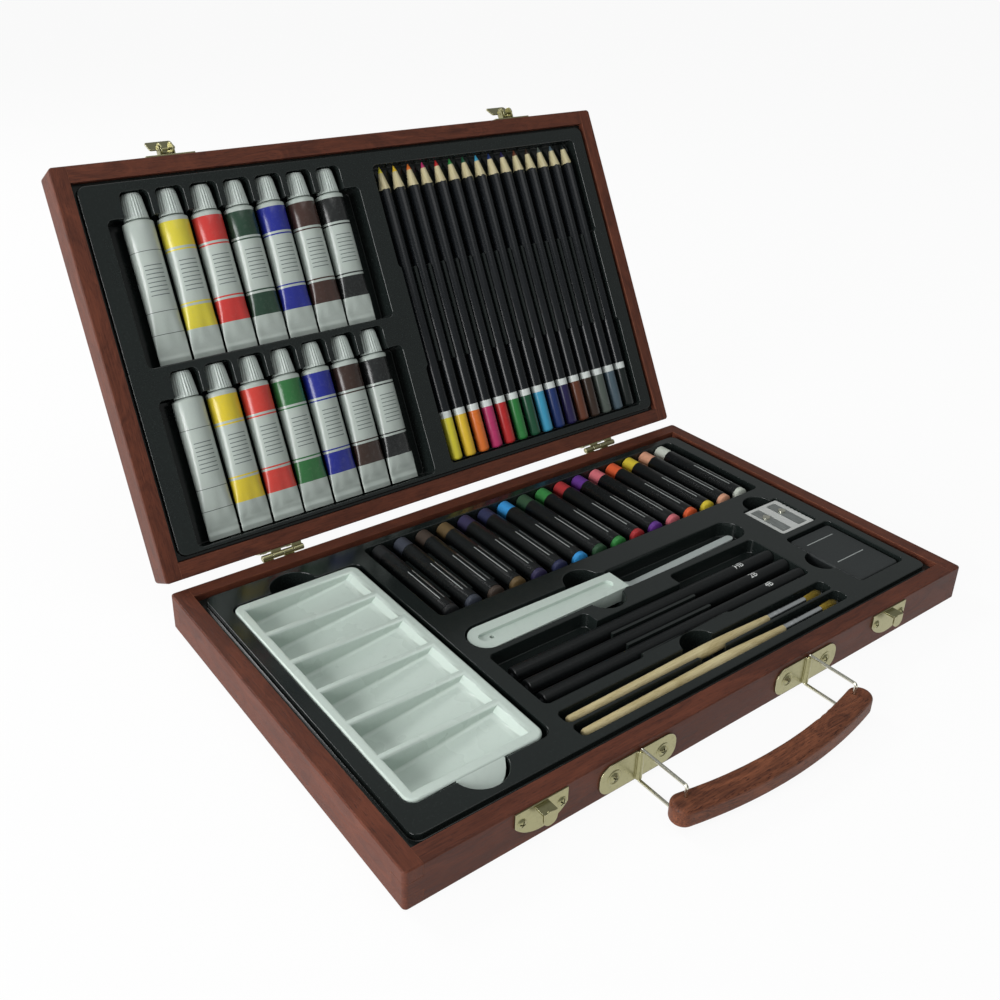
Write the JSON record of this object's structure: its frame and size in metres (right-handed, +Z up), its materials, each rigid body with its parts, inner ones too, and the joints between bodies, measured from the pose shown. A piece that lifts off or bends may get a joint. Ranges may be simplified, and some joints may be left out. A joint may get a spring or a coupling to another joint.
{
  "type": "wooden art set box",
  "caption": "Hinged wooden case with a carrying handle and latches, holding paint tubes, pencils, pastels, brushes, palette and tools in formed trays.",
  "frame": {"origin": "centre of the underside of the base, on the surface that the case lies on", "axes": "+Z up, +Y from the handle towards the hinges, +X to the right as seen from the handle"},
  "size_m": [0.35, 0.3744, 0.2133],
  "materials": {
    "stained_wood": "satin mahogany stain",
    "panel_plywood": "satin",
    "tray_plastic": "glossy formed sheet",
    "brassed_steel": "pale brass plate",
    "brassed_wire": "pale brass plate",
    "grip_wood": "satin",
    "white_plastic": "smooth",
    "pale_plastic": "smooth",
    "black_rubber": "matte",
    "cast_alloy": "satin",
    "blade_steel": "ground",
    "pale_wood": "clear varnish",
    "ferrule_metal": "polished",
    "yellow_bristle": "hair",
    "black_lacquer": "satin lacquer",
    "pencil_lacquer": "lacquer with coloured ends",
    "graphite": "dull",
    "coloured_lead": "waxy, one colour a pencil",
    "pastel_colour": "waxy, one colour a stick",
    "black_paper": "paper",
    "printed_tube": "white laminate, coloured bands",
    "white_cap": "ribbed"
  },
  "bodies": {
    "base": {"base_front_wall": "stained_wood", "base_back_wall": "stained_wood", "base_left_wall": "stained_wood", "base_right_wall": "stained_wood", "base_panel": "panel_plywood", "base_tray": "tray_plastic", "hinge_left_base_leaf": "brassed_steel", "hinge_right_base_leaf": "brassed_steel", "hinge_left_pin": "brassed_steel", "hinge_right_pin": "brassed_steel", "hinge_base_screws": "brassed_steel", "catch_plate_left": "brassed_steel", "catch_plate_right": "brassed_steel", "catch_screws": "brassed_steel", "handle_bracket_left": "brassed_steel", "handle_bracket_right": "brassed_steel", "handle_screws": "brassed_steel"},
    "lid": {"lid_front_wall": "stained_wood", "lid_back_wall": "stained_wood", "lid_left_wall": "stained_wood", "lid_right_wall": "stained_wood", "lid_panel": "panel_plywood", "lid_tray": "tray_plastic", "hinge_left_lid_leaf": "brassed_steel", "hinge_right_lid_leaf": "brassed_steel", "hinge_lid_screws": "brassed_steel", "latch_plate_left": "brassed_steel", "latch_plate_right": "brassed_steel", "latch_pin_left": "brassed_steel", "latch_pin_right": "brassed_steel", "latch_screws": "brassed_steel"},
    "latch_flap_left": {"latch_flap_left": "brassed_steel"},
    "latch_flap_right": {"latch_flap_right": "brassed_steel"},
    "handle_bail_left": {"handle_bail_left": "brassed_wire"},
    "handle_bail_right": {"handle_bail_right": "brassed_wire"},
    "handle_grip": {"handle_grip": "grip_wood"},
    "palette": {"palette": "white_plastic"},
    "palette_knife": {"palette_knife_handle": "white_plastic", "palette_knife_blade": "pale_plastic"},
    "sharpener": {"sharpener_body": "cast_alloy", "sharpener_blades": "blade_steel", "sharpener_screws": "blade_steel"},
    "eraser": {"eraser": "black_rubber"},
    "brush_1": {"brush_1_handle": "pale_wood", "brush_1_ferrule": "ferrule_metal", "brush_1_bristles": "yellow_bristle"},
    "brush_2": {"brush_2_handle": "pale_wood", "brush_2_ferrule": "ferrule_metal", "brush_2_bristles": "yellow_bristle"},
    "graphite_pencils": {"graphite_pencil_barrels": "black_lacquer", "graphite_pencil_leads": "graphite"},
    "pastels": {"pastel_sticks": "pastel_colour", "pastel_wrappers": "black_paper"},
    "colour_pencils": {"colour_pencil_barrels": "pencil_lacquer", "colour_pencil_leads": "coloured_lead"},
    "tubes_front": {"paint_tubes_front": "printed_tube", "tube_caps_front": "white_cap"},
    "tubes_rear": {"paint_tubes_rear": "printed_tube", "tube_caps_rear": "white_cap"}
  },
  "joints": [
    {"name": "lid_hinge", "type": "hinge", "parent": "base", "child": "lid", "pos_m": [0, 0.1086, 0.0192], "axis": [1, 0, 0], "range_deg": [0, 117.8]},
    {"name": "latch_left_swing", "type": "hinge", "parent": "lid", "child": "latch_flap_left", "pos_m": [-0.112, 0.21729, 0.20992], "axis": [1, 0, 0], "range_deg": [0, 135]},
    {"name": "latch_right_swing", "type": "hinge", "parent": "lid", "child": "latch_flap_right", "pos_m": [0.112, 0.21729, 0.20992], "axis": [1, 0, 0], "range_deg": [0, 135]},
    {"name": "handle_swing", "type": "hinge", "parent": "base", "child": "handle_bail_left", "pos_m": [-0.0598, -0.10655, 0.0091], "axis": [0, 0, 1], "range_deg": [-70, 70]},
    {"name": "bail_right_swing", "type": "hinge", "parent": "base", "child": "handle_bail_right", "pos_m": [0.0486, -0.10655, 0.0091], "axis": [0, 0, 1], "range_deg": [-70, 70]},
    {"name": "grip_turn", "type": "hinge", "parent": "handle_bail_left", "child": "handle_grip", "pos_m": [-0.0598, -0.13255, 0.0091], "axis": [0, 0, 1], "range_deg": [-70, 70]},
    {"name": "palette_lift", "type": "slide", "parent": "base", "child": "palette", "axis": [0, 0, -1], "range_m": [-0.022, 0]},
    {"name": "palette_knife_lift", "type": "slide", "parent": "base", "child": "palette_knife", "axis": [0, 0, -1], "range_m": [-0.022, 0]},
    {"name": "sharpener_lift", "type": "slide", "parent": "base", "child": "sharpener", "axis": [0, 0, -1], "range_m": [-0.022, 0]},
    {"name": "eraser_lift", "type": "slide", "parent": "base", "child": "eraser", "axis": [0, 0, -1], "range_m": [-0.022, 0]},
    {"name": "brush_1_lift", "type": "slide", "parent": "base", "child": "brush_1", "axis": [0, 0, -1], "range_m": [-0.022, 0]},
    {"name": "brush_2_lift", "type": "slide", "parent": "base", "child": "brush_2", "axis": [0, 0, -1], "range_m": [-0.022, 0]},
    {"name": "graphite_pencils_lift", "type": "slide", "parent": "base", "child": "graphite_pencils", "axis": [0, 0, -1], "range_m": [-0.022, 0]},
    {"name": "pastels_lift", "type": "slide", "parent": "base", "child": "pastels", "axis": [0, 0, -1], "range_m": [-0.022, 0]},
    {"name": "colour_pencils_lift", "type": "slide", "parent": "lid", "child": "colour_pencils", "axis": [0, 0.8846, -0.4664], "range_m": [-0.024, 0]},
    {"name": "tubes_front_lift", "type": "slide", "parent": "lid", "child": "tubes_front", "axis": [0, 0.8846, -0.4664], "range_m": [-0.024, 0]},
    {"name": "tubes_rear_lift", "type": "slide", "parent": "lid", "child": "tubes_rear", "axis": [0, 0.8846, -0.4664], "range_m": [-0.024, 0]}
  ],
  "couplings": [
    {"joint": "bail_right_swing", "follows": "handle_swing", "ratio": 1},
    {"joint": "grip_turn", "follows": "handle_swing", "ratio": -1}
  ]
}
